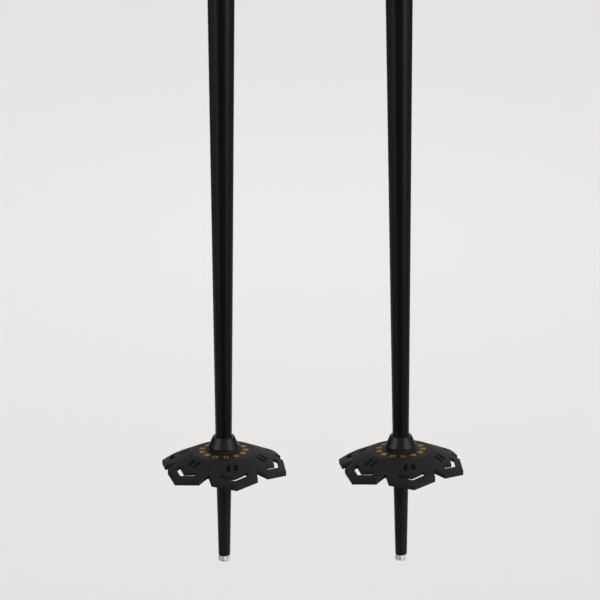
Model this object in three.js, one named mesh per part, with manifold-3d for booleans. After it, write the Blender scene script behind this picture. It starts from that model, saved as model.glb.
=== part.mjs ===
// A pair of adjustable trekking poles with snow baskets, in millimetres, +Z up.
// Each pole is a tapered lower tube with a fluted tip and a six-lobed basket, which slides in an upper tube
// with a lever clamp, a foam sleeve, a moulded grip and a wrist strap.
// The poles hang side by side, upright, and the origin lies midway between the ends of their two tips.
import * as THREE from "three";
import { mergeVertices } from "three/addons/utils/BufferGeometryUtils.js";
import Module from "manifold-3d";

const wasm = await Module();
wasm.setup();

// The pair
const poleSpacing = 105.2;
const basketTurn = THREE.MathUtils.degToRad(11.3);

// Fits: the clearance between neighbouring pieces, and how far a cut runs past the face that it opens
const fitGap = 0.3;
const overrun = 1;

// Facets round each kind of piece
const tubeFacets = 28;
const basketFacets = 36;
const ferruleFacets = 28;
const mouldingFacets = 24;
const smallFacets = 16;
const gripFacets = 24;

// Tip: a fluted steel crown with a hollow end, on a stem
const crownRadius = 3.45;
const crownHeight = 3.3;
const fluteCount = 8;
const fluteDepth = 0.55;
const cupRadius = 3.2;
const cupDepth = 1.7;
const stemRadius = 2;
const stemLength = 14;

// Ferrule: the moulding between tip and tube, with its nose, neck and collar
const noseEndRadius = 3.37;
const noseTopRadius = 4.32;
const noseLength = 46.7;
const shoulderHeight = 3;
const neckRadius = 6.8;
const neckLength = 18.2;
const lugHeight = 2.4;
const lugReach = 1;
const lugWidth = 7;
const collarRimRadius = 9;
const collarRimHeight = 0.8;
const collarTopRadius = 6.35;
const collarHeight = 7.1;
const collarRounding = 0.6;
const socketDepth = 24.6;
const underCollarRelief = 0.6;

// Basket: a shallow disc with a boss and a hub, and a sloping skirt of six lobes
const discRadius = 18.8;
const discFall = 0.7;
const bossRadius = 8.7;
const bossHeight = 1.4;
const hubRadius = 10.5;
const basketThickness = 3;
const skirtSlope = THREE.MathUtils.degToRad(25.2);
const lobeCount = 6;
const lobeTipRadius = 39;
const lobeCornerRadius = 35.2;
const lobeCornerAngle = THREE.MathUtils.degToRad(23.7);
const lobeGapRadius = 29.1;
const chevronTipRadius = 34.3;
const chevronEndRadius = 31.6;
const chevronWidth = 3.7;
const chevronAngle = THREE.MathUtils.degToRad(15.5);
const ventStart = 21.3;
const ventLength = 5.3;
const ventWidth = 2.6;
const ventOffset = 2.2;
const indexMarkSize = 1.6;
const indexMarkTurn = THREE.MathUtils.degToRad(-3.8);

// Lower tube: tapered, then straight where it slides in the upper tube
const lowerEndRadius = 4.48;
const lowerRadius = 8;
const taperLength = 303.8;
const lowerLength = 645.7;
const lowerWall = 0.8;

// Guide bush: a plug in the top of the lower tube, which keeps it central in the upper tube
const bushStemLength = 18;
const bushHeadLength = 12;
const bushBore = 3;
const bushGroove = 0.8;

// Upper tube
const upperWall = 0.7;
const upperBottom = 520;
const upperLength = 630;

// Clamp: a split collar round the tubes' joint, with two ears
const clampBelow = 15;
const clampAbove = 25;
const clampWall = 3.4;
const clampChamfer = 1.5;
const slitWidth = 2.2;
const earThickness = 6.9;
const earHeight = 20;
const earRise = 1;
const screwStandoff = 16;
const earRounding = 5;
const reliefHeight = 1.6;
const reliefAngle = THREE.MathUtils.degToRad(200);

// Lever: a cam with an arm that wraps round the clamp
const screwRadius = 1.6;
const screwHeadRadius = 3.2;
const screwHeadLength = 2.5;
const plateThickness = 1.5;
const plateHeight = 16;
const plateWidth = 9;
const barrelRadius = 3.2;
const camRadius = 5.6;
const camOffset = 0.4;
const leverHeight = 18;
const leverClearance = 0.8;
const leverThickness = 3.3;
const leverStart = THREE.MathUtils.degToRad(-34);
const leverEnd = THREE.MathUtils.degToRad(62);
const leverLip = 3;
const leverLipAngle = THREE.MathUtils.degToRad(12);

// Foam sleeve on the upper tube, below the grip
const sleeveLength = 117;
const sleeveRadius = 13.2;
const sleeveChamfer = 2.2;
const sleeveGrooveDepth = 0.7;
const sleeveGrooveCount = 3;

// Grip: half width, and how far it reaches to the front and to the back of the pole's axis
const gripHeight = 140;
const gripHalfWidth = 15.5;
const gripFront = 22;
const gripBack = 15.5;
const tubeTopDrop = 40;
const slotFloorDrop = 32.5;

// Cap on the grip
const capHeight = 9.7;
const capTopInset = 3.6;

// Strap pin, wedge and webbing strap
const pinRadius = 1.8;
const pinHalfLength = 13.5;
const pinDrop = 22;
const pinBack = 6;
const webbingWidth = 15;
const webbingThickness = 1.9;
const slotSideGap = 0.5;
const eyeRadius = 4.2;
const wedgeBack = 12;
const wedgeFrontRise = 5;
const wedgeBackRise = 9.6;
const strapNear = 17.1;
const strapFar = 36.4;
const strapTopDrop = 7;
const strapShoulderDrop = 46;
const strapControlDrop = 14;
const strapBottomDrop = 124;

// Levels along a pole's axis, from the end of the tip at zero
const noseEnd = crownHeight + fitGap;
const shoulderLevel = noseEnd + noseLength;
const neckLevel = shoulderLevel + shoulderHeight;
const collarLevel = neckLevel + neckLength;
const collarTop = collarLevel + collarHeight;
const hubLevel = neckLevel + lugHeight + fitGap;
const bossTop = collarLevel - fitGap;
const discLevel = bossTop - bossHeight;
const lowerBottom = collarTop - socketDepth + fitGap;
const taperTop = lowerBottom + taperLength;
const lowerTop = lowerBottom + lowerLength;
const clampLevel = upperBottom - clampBelow;
const clampTop = upperBottom + clampAbove;
const screwLevel = clampLevel + earRise + earHeight / 2;
const upperTop = upperBottom + upperLength;
const gripTop = upperTop + tubeTopDrop;
const gripLevel = gripTop - gripHeight;
const sleeveTop = gripLevel - fitGap;
const capLevel = gripTop + fitGap;
const capTop = capLevel + capHeight;
const pinLevel = gripTop - pinDrop;
const slotLevel = gripTop - slotFloorDrop;

// Radii and places that follow from the fits
const upperBoreRadius = lowerRadius + fitGap;
const upperRadius = upperBoreRadius + upperWall;
const tubeHoleRadius = upperRadius + fitGap;
const clampRadius = tubeHoleRadius + clampWall;
const earFace = slitWidth / 2 + earThickness;
const plateFace = earFace + fitGap;
const camFace = plateFace + plateThickness + fitGap;
const leverAxisX = camFace + camRadius + camOffset;
const leverAxisY = -screwStandoff;
const slotHalfWidth = webbingWidth / 2 + slotSideGap;
const slotFront = pinBack - eyeRadius - slotSideGap;

// Materials
function finish(color, roughness, metalness) {
  return new THREE.MeshStandardMaterial({ color, roughness, metalness });
}
const blackAluminium = finish("#131313", 0.38, 0.7);
const blackNylon = finish("#191a1b", 0.42, 0);
const matteRubber = finish("#262625", 0.8, 0);
const steel = finish("#c4c4c2", 0.32, 1);
const darkSteel = finish("#3b3c3e", 0.35, 1);
const paleAcetal = finish("#cfcdc6", 0.5, 0);
const foam = finish("#1c1c1c", 0.95, 0);
const webbing = finish("#1e1e1f", 0.9, 0);

// A closed three.js geometry as a solid for cutting and joining
function solidOf(geometry) {
  const bare = geometry.index ? geometry.toNonIndexed() : geometry.clone();
  bare.deleteAttribute("normal");
  bare.deleteAttribute("uv");
  const merged = mergeVertices(bare);
  return new wasm.Manifold(
    new wasm.Mesh({
      numProp: 3,
      vertProperties: merged.attributes.position.array,
      triVerts: new Uint32Array(merged.index.array),
    }),
  );
}

// A solid's surface as a three.js geometry again
function geometryOf(solid) {
  const mesh = solid.getMesh();
  const geometry = new THREE.BufferGeometry();
  geometry.setAttribute("position", new THREE.BufferAttribute(mesh.vertProperties, mesh.numProp));
  geometry.setIndex(new THREE.BufferAttribute(mesh.triVerts, 1));
  geometry.computeVertexNormals();
  return geometry;
}

// A body of revolution about Z from [radius, height] points, listed up the outside and down the inside
function revolve(points, facets) {
  const profile = points.map(([radius, height]) => new THREE.Vector2(radius, height));
  if (points[0][0] > 0) profile.push(profile[0].clone());
  return solidOf(new THREE.LatheGeometry(profile, facets).rotateX(Math.PI / 2));
}

// A flat shape in XY, thickened upwards from a level
function prism(shape, level, height, segments = 6) {
  const options = { depth: height, bevelEnabled: false, curveSegments: segments };
  return solidOf(new THREE.ExtrudeGeometry(shape, options).translate(0, 0, level));
}

// A flat shape drawn as [back, up], thickened across the pole and centred on its axis
function crossPrism(shape, width, segments = 8) {
  const options = { depth: width, bevelEnabled: false, curveSegments: segments };
  const turn = new THREE.Matrix4().makeBasis(
    new THREE.Vector3(0, 1, 0),
    new THREE.Vector3(0, 0, 1),
    new THREE.Vector3(1, 0, 0),
  );
  return solidOf(new THREE.ExtrudeGeometry(shape, options).translate(0, 0, -width / 2).applyMatrix4(turn));
}

// A box between two opposite corners
function block(from, to) {
  const size = to.map((value, axis) => value - from[axis]);
  const middle = to.map((value, axis) => (value + from[axis]) / 2);
  return solidOf(new THREE.BoxGeometry(...size).translate(...middle));
}

// A rod along X between two places, at [y, z]
function crossRod(radius, fromX, toX, y, z, facets = smallFacets) {
  const rod = new THREE.CylinderGeometry(radius, radius, toX - fromX, facets).rotateZ(Math.PI / 2);
  return solidOf(rod.translate((fromX + toX) / 2, y, z));
}

// A rod along Z between two levels
function uprightRod(radius, fromZ, toZ, x, y, facets = smallFacets) {
  const rod = new THREE.CylinderGeometry(radius, radius, toZ - fromZ, facets).rotateX(Math.PI / 2);
  return solidOf(rod.translate(x, y, (fromZ + toZ) / 2));
}

// A body through rings of equal count, closed by a flat fan at each end
function loft(rings) {
  const count = rings[0].length;
  const points = rings.flat();
  const faces = [];
  for (let ring = 0; ring + 1 < rings.length; ring++) {
    for (let i = 0; i < count; i++) {
      const here = ring * count + i;
      const next = ring * count + ((i + 1) % count);
      faces.push(here, next, next + count);
      faces.push(here, next + count, here + count);
    }
  }
  const last = (rings.length - 1) * count;
  for (let i = 1; i + 1 < count; i++) {
    faces.push(0, i + 1, i);
    faces.push(last, last + i, last + i + 1);
  }
  const geometry = new THREE.BufferGeometry().setFromPoints(points);
  geometry.setIndex(faces);
  return solidOf(geometry);
}

// A closed polygon from [x, y] points
function polygon(points) {
  return new THREE.Shape(points.map(([x, y]) => new THREE.Vector2(x, y)));
}

// A place at a radius and an angle, where angle zero faces the front of the pole, along -Y
function fromFront(radius, angle) {
  return [radius * Math.sin(angle), -radius * Math.cos(angle)];
}

// The tip: scalloped flutes round the crown, and a cup in its end that leaves teeth between the flutes
function makeTip() {
  const outline = [];
  const pointsPerFlute = 6;
  for (let i = 0; i < fluteCount * pointsPerFlute; i++) {
    const dip = Math.abs(Math.sin((Math.PI * i) / pointsPerFlute));
    const angle = (2 * Math.PI * i) / (fluteCount * pointsPerFlute);
    outline.push(fromFront(crownRadius - fluteDepth * dip, -angle).reverse());
  }
  const crown = prism(polygon(outline), 0, crownHeight);
  const stem = uprightRod(stemRadius, crownHeight / 2, crownHeight + stemLength, 0, 0);
  const cup = revolve(
    [
      [0, -overrun],
      [cupRadius + (overrun * cupRadius) / cupDepth, -overrun],
      [0, cupDepth],
    ],
    fluteCount * pointsPerFlute,
  );
  return crown.add(stem).subtract(cup);
}

// The ferrule: a slender nose with the tip's bore, a neck with two lugs for the basket, and a collar with the
// tapered socket for the tube
function makeFerrule() {
  const socketFloor = collarTop - socketDepth;
  const taperRate = (lowerRadius - lowerEndRadius) / taperLength;
  const socketTopRadius = lowerEndRadius + fitGap + taperRate * (collarTop - lowerBottom);
  const boreRadius = stemRadius + fitGap;
  const boreTop = crownHeight + stemLength + fitGap;
  const body = revolve(
    [
      [boreRadius, noseEnd],
      [noseEndRadius, noseEnd],
      [noseTopRadius, shoulderLevel],
      [neckRadius, neckLevel],
      [neckRadius, collarLevel + underCollarRelief],
      [collarRimRadius - collarRimHeight, collarLevel + underCollarRelief],
      [collarRimRadius - underCollarRelief, collarLevel],
      [collarRimRadius, collarLevel],
      [collarRimRadius, collarLevel + collarRimHeight],
      [collarTopRadius, collarTop - collarRounding],
      [collarTopRadius - collarRounding / 3, collarTop - collarRounding / 3],
      [collarTopRadius - collarRounding, collarTop],
      [socketTopRadius, collarTop],
      [lowerEndRadius + fitGap, socketFloor],
      [0, socketFloor],
      [0, boreTop],
      [boreRadius, boreTop],
    ],
    ferruleFacets,
  );
  const reach = neckRadius + lugReach;
  const lugBar = block([-reach, -lugWidth / 2, neckLevel], [reach, lugWidth / 2, neckLevel + lugHeight]);
  const lugDisc = uprightRod(reach, neckLevel, neckLevel + lugHeight, 0, 0, ferruleFacets);
  const socket = uprightRod(
    lowerEndRadius + fitGap,
    socketFloor,
    neckLevel + lugHeight + overrun,
    0,
    0,
    ferruleFacets,
  );
  const lugs = lugBar.intersect(lugDisc).rotate([0, 0, THREE.MathUtils.radToDeg(basketTurn)]);
  return body.add(lugs).subtract(socket);
}

// One lobe's outline from the gap before it, in the plane of the disc
function lobeOutline(turn) {
  const half = Math.PI / lobeCount;
  return [
    fromFront(lobeGapRadius, turn - half),
    fromFront(lobeCornerRadius, turn - lobeCornerAngle),
    fromFront(lobeTipRadius, turn),
    fromFront(lobeCornerRadius, turn + lobeCornerAngle),
  ];
}

// The basket: revolved disc, skirt and hub, trimmed to six lobes, with a chevron slot and two vents in each,
// and two keyways in the hub that pass the ferrule's lugs
function makeBasket() {
  const drop = (radius) => discFall + (radius - discRadius) * Math.tan(skirtSlope);
  const outside = lobeTipRadius + overrun;
  const shell = revolve(
    [
      [neckRadius + fitGap, hubLevel],
      [hubRadius, hubLevel],
      [hubRadius, discLevel - basketThickness],
      [discRadius, discLevel - basketThickness - drop(discRadius)],
      [outside, discLevel - basketThickness - drop(outside)],
      [outside, discLevel - drop(outside)],
      [discRadius, discLevel - drop(discRadius)],
      [bossRadius, discLevel],
      [bossRadius, bossTop],
      [neckRadius + fitGap, bossTop],
    ],
    basketFacets,
  );
  const cutDepth = bossTop + overrun;
  let outline = [];
  for (let lobe = 0; lobe < lobeCount; lobe++) {
    outline = outline.concat(lobeOutline((2 * Math.PI * lobe) / lobeCount));
  }
  let basket = shell.intersect(prism(polygon(outline), 0, cutDepth));
  for (let lobe = 0; lobe < lobeCount; lobe++) {
    const turn = (2 * Math.PI * lobe) / lobeCount;
    const chevron = polygon([
      fromFront(chevronEndRadius, turn - chevronAngle),
      fromFront(chevronTipRadius, turn),
      fromFront(chevronEndRadius, turn + chevronAngle),
      fromFront(chevronEndRadius - chevronWidth, turn + chevronAngle),
      fromFront(chevronTipRadius - chevronWidth, turn),
      fromFront(chevronEndRadius - chevronWidth, turn - chevronAngle),
    ]);
    basket = basket.subtract(prism(chevron, 0, cutDepth));
    for (const side of [-1, 1]) {
      const vent = new THREE.BoxGeometry(ventWidth, ventLength, cutDepth);
      vent.translate(side * ventOffset, -ventStart - ventLength / 2, cutDepth / 2);
      basket = basket.subtract(solidOf(vent.rotateZ(turn)));
    }
  }
  const keyReach = neckRadius + lugReach + fitGap;
  const keyHalf = lugWidth / 2 + fitGap;
  const keyBar = block([-keyReach, -keyHalf, 0], [keyReach, keyHalf, cutDepth]);
  const keyways = keyBar.intersect(uprightRod(keyReach, 0, cutDepth, 0, 0, ferruleFacets)).rotate([0, 0, 90]);
  const markLevel = discLevel - indexMarkSize / 2;
  const mark = polygon([
    [-indexMarkSize, -bossRadius],
    [0, -bossRadius - indexMarkSize],
    [indexMarkSize, -bossRadius],
  ]);
  const markTurn = THREE.MathUtils.radToDeg(indexMarkTurn);
  const indexMark = prism(mark, markLevel, indexMarkSize).rotate([0, 0, markTurn]);
  basket = basket.subtract(keyways).subtract(indexMark);
  return basket.rotate([0, 0, THREE.MathUtils.radToDeg(basketTurn)]);
}

// The lower tube: one wall thickness all along, open at both ends
function makeLowerTube() {
  return revolve(
    [
      [lowerEndRadius, lowerBottom],
      [lowerRadius, taperTop],
      [lowerRadius, lowerTop],
      [lowerRadius - lowerWall, lowerTop],
      [lowerRadius - lowerWall, taperTop],
      [lowerEndRadius - lowerWall, lowerBottom],
    ],
    tubeFacets,
  );
}

// The guide bush: a stem in the lower tube and a grooved head above it
function makeGuideBush() {
  const stem = lowerRadius - lowerWall - fitGap;
  const headLevel = lowerTop + fitGap;
  const land = bushHeadLength / 3;
  return revolve(
    [
      [bushBore, headLevel - bushStemLength],
      [stem, headLevel - bushStemLength],
      [stem, headLevel],
      [lowerRadius, headLevel],
      [lowerRadius, headLevel + land],
      [lowerRadius - bushGroove, headLevel + land],
      [lowerRadius - bushGroove, headLevel + 2 * land],
      [lowerRadius, headLevel + 2 * land],
      [lowerRadius - bushGroove, headLevel + bushHeadLength],
      [bushBore, headLevel + bushHeadLength],
    ],
    mouldingFacets,
  );
}

// The upper tube: a plain tube, open at both ends
function makeUpperTube() {
  return revolve(
    [
      [upperRadius, upperBottom],
      [upperRadius, upperTop],
      [upperBoreRadius, upperTop],
      [upperBoreRadius, upperBottom],
    ],
    tubeFacets,
  );
}

// The clamp: a stepped collar, slit at the front between two ears, with a relief slot that frees its lower band
function makeClamp() {
  const step = upperBottom - fitGap;
  const body = revolve(
    [
      [upperBoreRadius, clampLevel],
      [clampRadius - clampChamfer, clampLevel],
      [clampRadius, clampLevel + clampChamfer],
      [clampRadius, clampTop - clampChamfer],
      [clampRadius - clampChamfer, clampTop],
      [tubeHoleRadius, clampTop],
      [tubeHoleRadius, step],
      [upperBoreRadius, step],
    ],
    tubeFacets,
  );
  const earLevel = clampLevel + earRise;
  const front = screwStandoff + earRounding;
  const ears = new THREE.Shape();
  ears.moveTo(-earFace, -upperRadius);
  ears.lineTo(-earFace, -screwStandoff);
  ears.lineTo(-earFace + earRounding, -front);
  ears.lineTo(earFace - earRounding, -front);
  ears.lineTo(earFace, -screwStandoff);
  ears.lineTo(earFace, -upperRadius);
  const bore = uprightRod(tubeHoleRadius, earLevel - overrun, clampTop, 0, 0, tubeFacets);
  const earBlock = prism(ears, earLevel, earHeight).subtract(bore);
  const slit = block(
    [-slitWidth / 2, -front - overrun, clampLevel - overrun],
    [slitWidth / 2, 0, earLevel + earHeight + reliefHeight],
  );
  const relief = new THREE.Shape();
  relief.moveTo(0, 0);
  const reach = clampRadius + overrun;
  relief.absarc(0, 0, reach, -Math.PI / 2 - reliefAngle / 2, -Math.PI / 2 + reliefAngle / 2, false);
  const reliefCut = prism(relief, earLevel + earHeight, reliefHeight, 24);
  const headStart = -earFace + screwHeadLength + fitGap;
  const screwHole = crossRod(screwRadius + fitGap, -earFace, earFace + overrun, leverAxisY, screwLevel);
  const headHole = crossRod(screwHeadRadius + fitGap, -earFace - overrun, headStart, leverAxisY, screwLevel);
  return body.add(earBlock).subtract(slit).subtract(reliefCut).subtract(screwHole).subtract(headHole);
}

// The clamp's screw, from its head in the left ear to its end in the barrel nut
function makeClampScrew() {
  const shank = crossRod(
    screwRadius,
    -earFace + screwHeadLength / 2,
    leverAxisX + barrelRadius / 2,
    leverAxisY,
    screwLevel,
  );
  const head = crossRod(screwHeadRadius, -earFace, -earFace + screwHeadLength, leverAxisY, screwLevel);
  return shank.add(head);
}

// The wear plate between the right ear and the cam
function makeCamPlate() {
  const plate = block(
    [plateFace, leverAxisY - plateWidth / 2, screwLevel - plateHeight / 2],
    [plateFace + plateThickness, leverAxisY + plateWidth / 2, screwLevel + plateHeight / 2],
  );
  const hole = crossRod(
    screwRadius + fitGap,
    plateFace - overrun,
    plateFace + plateThickness + overrun,
    leverAxisY,
    screwLevel,
  );
  return plate.subtract(hole);
}

// The barrel nut that the lever turns on, cross-drilled for the screw
function makeBarrelNut() {
  const half = leverHeight / 2;
  const barrel = uprightRod(barrelRadius, screwLevel - half, screwLevel + half, leverAxisX, leverAxisY);
  const hole = crossRod(
    screwRadius + fitGap,
    leverAxisX - barrelRadius - overrun,
    leverAxisX + barrelRadius + overrun,
    leverAxisY,
    screwLevel,
  );
  return barrel.subtract(hole);
}

// The lever: an eccentric cam, and an arm that follows the clamp's side to a thumb lip
function makeLever() {
  const bottom = screwLevel - leverHeight / 2;
  const inner = clampRadius + leverClearance;
  const outer = inner + leverThickness;
  const lipOuter = outer + leverLip;
  const arm = new THREE.Shape();
  arm.absarc(0, 0, outer, leverStart, leverEnd - leverLipAngle, false);
  arm.lineTo(lipOuter * Math.cos(leverEnd), lipOuter * Math.sin(leverEnd));
  arm.absarc(0, 0, inner, leverEnd, leverStart, true);
  const linkReach = [inner * Math.cos(leverStart), inner * Math.sin(leverStart)];
  const linkOutside = [outer * Math.cos(leverStart / 2), outer * Math.sin(leverStart / 2)];
  const link = polygon([
    linkReach,
    [leverAxisX - camOffset - camRadius / 2, leverAxisY + camRadius / 2],
    [leverAxisX + camRadius - camOffset, leverAxisY],
    linkOutside,
  ]);
  const camX = leverAxisX - camOffset;
  const cam = uprightRod(camRadius, bottom, bottom + leverHeight, camX, leverAxisY, 2 * smallFacets);
  const joined = cam.add(prism(arm, bottom, leverHeight, 14)).add(prism(link, bottom, leverHeight));
  const pinHole = uprightRod(
    barrelRadius + fitGap,
    bottom - overrun,
    bottom + leverHeight + overrun,
    leverAxisX,
    leverAxisY,
  );
  const slotHalf = screwRadius + fitGap;
  const screwSlot = block(
    [camX - camRadius - overrun, leverAxisY - camRadius - overrun, screwLevel - slotHalf],
    [camX + camRadius + overrun, leverAxisY + slotHalf, screwLevel + slotHalf],
  );
  return joined.subtract(pinHole).subtract(screwSlot);
}

// The foam sleeve: shallow grooves between its chamfered ends
function makeGripSleeve() {
  const bottom = sleeveTop - sleeveLength;
  const points = [
    [tubeHoleRadius, bottom],
    [sleeveRadius - sleeveChamfer, bottom],
    [sleeveRadius, bottom + sleeveChamfer],
  ];
  const pitch = sleeveLength / (sleeveGrooveCount + 1);
  for (let groove = 1; groove <= sleeveGrooveCount; groove++) {
    const level = bottom + groove * pitch;
    points.push([sleeveRadius, level - 2 * sleeveGrooveDepth]);
    points.push([sleeveRadius - sleeveGrooveDepth, level]);
    points.push([sleeveRadius, level + 2 * sleeveGrooveDepth]);
  }
  points.push([sleeveRadius, sleeveTop - sleeveChamfer]);
  points.push([sleeveRadius - sleeveChamfer, sleeveTop]);
  points.push([tubeHoleRadius, sleeveTop]);
  return revolve(points, mouldingFacets);
}

// One ring of the grip: an oval whose front and back reach different lengths
function gripRing(level, halfWidth, front, back) {
  const ring = [];
  for (let i = 0; i < gripFacets; i++) {
    const angle = (2 * Math.PI * i) / gripFacets;
    const y = Math.sin(angle) * (Math.sin(angle) > 0 ? back : front);
    ring.push(new THREE.Vector3(halfWidth * Math.cos(angle), y, level));
  }
  return ring;
}

// The grip's rings as shares of its height, half width, front reach and back reach, from the bottom up
const gripShares = [
  [0, 0.9, 0.63, 0.9],
  [0.025, 0.98, 0.7, 0.98],
  [0.06, 0.97, 0.69, 0.97],
  [0.11, 0.84, 0.61, 0.84],
  [0.2, 0.86, 0.63, 0.88],
  [0.3, 0.92, 0.7, 0.94],
  [0.39, 0.89, 0.64, 0.97],
  [0.48, 0.9, 0.7, 0.98],
  [0.58, 0.88, 0.64, 0.97],
  [0.68, 0.9, 0.7, 0.95],
  [0.78, 0.92, 0.78, 0.94],
  [0.87, 0.97, 0.92, 0.97],
  [0.94, 1, 1, 1],
  [1, 0.96, 0.96, 0.96],
];

// The grip: a lofted handle with the tube's bore, the slot for strap and wedge, and the pin's hole
function makeGrip() {
  const body = loft(
    gripShares.map(([height, width, front, back]) =>
      gripRing(
        gripLevel + height * gripHeight,
        width * gripHalfWidth,
        front * gripFront,
        back * gripBack,
      ),
    ),
  );
  const bore = uprightRod(tubeHoleRadius, gripLevel - overrun, upperTop + fitGap, 0, 0, tubeFacets);
  const slot = block(
    [-slotHalfWidth, slotFront, slotLevel],
    [slotHalfWidth, gripBack + overrun, gripTop + overrun],
  );
  const across = gripHalfWidth + overrun;
  const pinHole = crossRod(pinRadius + fitGap, -across, across, pinBack, pinLevel);
  return body.subtract(bore).subtract(slot).subtract(pinHole);
}

// The cap: a domed plate with a flat top, notched at the back for the wedge
function makeGripCap() {
  const [, width, front, back] = gripShares[gripShares.length - 1];
  const rings = [
    [0, 0],
    [0.45, 0],
    [0.8, 0.35],
    [1, 1],
  ].map(([heightShare, insetShare]) => {
    const inset = insetShare * capTopInset;
    return gripRing(
      capLevel + heightShare * capHeight,
      width * gripHalfWidth - inset,
      front * gripFront - inset,
      back * gripBack - inset,
    );
  });
  const notch = block(
    [-slotHalfWidth, slotFront, capLevel - overrun],
    [slotHalfWidth, gripBack + overrun, capTop + overrun],
  );
  return loft(rings).subtract(notch);
}

// The strap's wedge: its underside slopes clear of the strap, and its top lies level with the cap
function makeStrapWedge() {
  const front = slotFront + fitGap;
  const rounding = capTopInset / 2;
  const side = polygon([
    [front, pinLevel + wedgeFrontRise],
    [wedgeBack, pinLevel + wedgeBackRise],
    [wedgeBack, capTop - fitGap - rounding],
    [wedgeBack - rounding, capTop - fitGap],
    [front, capTop - fitGap],
  ]);
  return crossPrism(side, 2 * (slotHalfWidth - fitGap));
}

// The strap's pin across the grip
function makeStrapPin() {
  return crossRod(pinRadius, -pinHalfLength, pinHalfLength, pinBack, pinLevel);
}

// The hanging loop of webbing, drawn from the side: its outline, or its opening when drawn inset
function loopOutline(inset) {
  const near = strapNear + inset;
  const far = strapFar - inset;
  const bottomRadius = (far - near) / 2;
  const bottom = pinLevel - strapBottomDrop;
  const top = pinLevel - strapTopDrop - 4 * inset;
  const shape = new THREE.Shape();
  shape.moveTo(near, top);
  shape.lineTo(near, bottom);
  shape.absarc(near + bottomRadius, bottom, bottomRadius, Math.PI, 2 * Math.PI, false);
  shape.lineTo(far, pinLevel - strapShoulderDrop);
  shape.quadraticCurveTo(far, pinLevel - strapControlDrop - 2 * inset, near, top);
  return shape;
}

// The strap: an eye round the pin, a doubled stem that leaves the grip at the back, and the loop
function makeStrap() {
  const loop = loopOutline(0);
  loop.holes.push(loopOutline(webbingThickness));
  const eye = crossRod(eyeRadius, -webbingWidth / 2, webbingWidth / 2, pinBack, pinLevel, 2 * smallFacets);
  const stem = polygon([
    [pinBack, pinLevel - eyeRadius / 2],
    [strapNear, pinLevel - strapTopDrop - 2 * webbingThickness],
    [strapNear + 2 * webbingThickness, pinLevel - strapTopDrop - 2 * webbingThickness],
    [strapNear, pinLevel - strapTopDrop + webbingThickness / 2],
    [pinBack, pinLevel + eyeRadius / 2],
  ]);
  const hole = crossRod(pinRadius + fitGap, -webbingWidth, webbingWidth, pinBack, pinLevel);
  return crossPrism(loop, webbingWidth, 10)
    .add(crossPrism(stem, webbingWidth))
    .add(eye)
    .subtract(hole);
}

// Every piece of one pole, by name, with its material
const pieces = [
  ["tip", makeTip(), steel],
  ["ferrule", makeFerrule(), blackNylon],
  ["basket", makeBasket(), matteRubber],
  ["lower_tube", makeLowerTube(), blackAluminium],
  ["guide_bush", makeGuideBush(), paleAcetal],
  ["upper_tube", makeUpperTube(), blackAluminium],
  ["clamp", makeClamp(), blackNylon],
  ["clamp_screw", makeClampScrew(), darkSteel],
  ["cam_plate", makeCamPlate(), darkSteel],
  ["barrel_nut", makeBarrelNut(), darkSteel],
  ["clamp_lever", makeLever(), blackNylon],
  ["grip_sleeve", makeGripSleeve(), foam],
  ["grip", makeGrip(), foam],
  ["grip_cap", makeGripCap(), blackNylon],
  ["strap_pin", makeStrapPin(), darkSteel],
  ["strap_wedge", makeStrapWedge(), blackNylon],
  ["strap", makeStrap(), webbing],
].map(([name, solid, material]) => [name, geometryOf(solid), material]);

const pair = new THREE.Group();
for (const [side, place] of [
  ["left", -poleSpacing / 2],
  ["right", poleSpacing / 2],
]) {
  const pole = new THREE.Group();
  pole.position.x = place;
  for (const [name, geometry, material] of pieces) {
    const mesh = new THREE.Mesh(geometry, material);
    mesh.name = `${side}_${name}`;
    pole.add(mesh);
  }
  pair.add(pole);
}

export default pair;
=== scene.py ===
"""A pair of trekking poles with snow baskets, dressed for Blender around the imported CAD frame.

Sizes are written in millimetres about one pole's own axis, and meshes are stored in metres. The studio's
places are in metres.
"""

import bmesh
import bpy
import numpy as np
from mathutils import Matrix, Vector
from mathutils.geometry import delaunay_2d_cdt


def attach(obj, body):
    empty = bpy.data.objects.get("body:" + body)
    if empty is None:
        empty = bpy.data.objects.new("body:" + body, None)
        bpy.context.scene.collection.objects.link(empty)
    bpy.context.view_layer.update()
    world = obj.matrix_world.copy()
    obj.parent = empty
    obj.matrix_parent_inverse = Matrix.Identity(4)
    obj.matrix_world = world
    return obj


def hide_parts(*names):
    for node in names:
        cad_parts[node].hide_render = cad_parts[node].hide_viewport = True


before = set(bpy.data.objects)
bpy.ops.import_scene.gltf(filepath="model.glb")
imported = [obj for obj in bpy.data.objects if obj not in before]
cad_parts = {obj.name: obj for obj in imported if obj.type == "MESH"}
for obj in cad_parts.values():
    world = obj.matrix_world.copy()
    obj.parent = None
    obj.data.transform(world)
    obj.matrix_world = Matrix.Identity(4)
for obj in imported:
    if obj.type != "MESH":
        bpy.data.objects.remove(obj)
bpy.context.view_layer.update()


# Tips
# Each tip is a short crown of hardened steel on a stem that is pressed into the nose. Its eight scalloped
# flutes and its hollow end leave teeth that bite on ice. It is cast, then tumbled to a dull grey.
def linear(code):
    """An sRGB hex colour as linear red, green, blue and alpha, by the sRGB curve."""
    srgb = np.array([int(code[i : i + 2], 16) for i in (1, 3, 5)]) / 255
    rgb = np.where(srgb <= 0.04045, srgb / 12.92, ((srgb + 0.055) / 1.055) ** 2.4)
    return (*rgb.tolist(), 1.0)


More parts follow.
